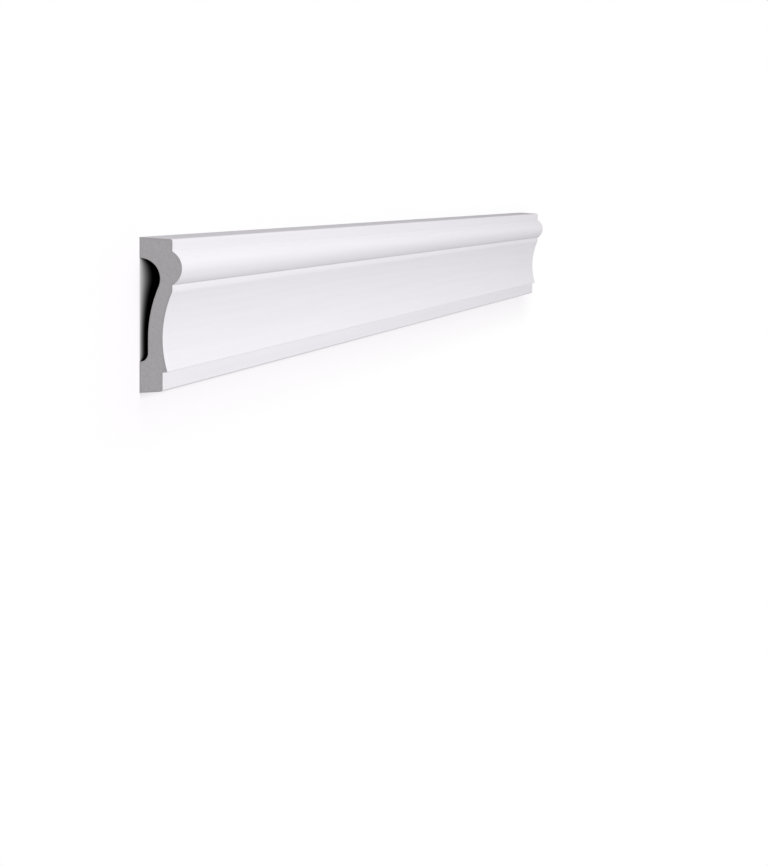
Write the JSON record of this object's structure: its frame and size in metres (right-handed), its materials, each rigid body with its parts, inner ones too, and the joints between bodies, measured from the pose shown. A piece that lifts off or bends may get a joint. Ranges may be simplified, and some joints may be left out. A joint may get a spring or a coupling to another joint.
{
  "type": "panel moulding",
  "caption": "Straight length of white wall panel moulding with a rounded bead, a long cove ending in a lip, and a hollowed back, glued to a wall as a frame or chair rail.",
  "frame": {"origin": "middle of the wall face, at mid-length and mid-height of the moulding", "axes": "+X along the length, +Y up the wall towards the top edge when fixed, +Z out of the wall towards the visible front; the moulding lies on its wall face"},
  "size_m": [2, 0.085, 0.0235],
  "materials": {
    "primed_foam": "moulded rigid foam under a white primer, matte"
  },
  "bodies": {
    "root": {"panel_moulding": "primed_foam"}
  },
  "joints": []
}
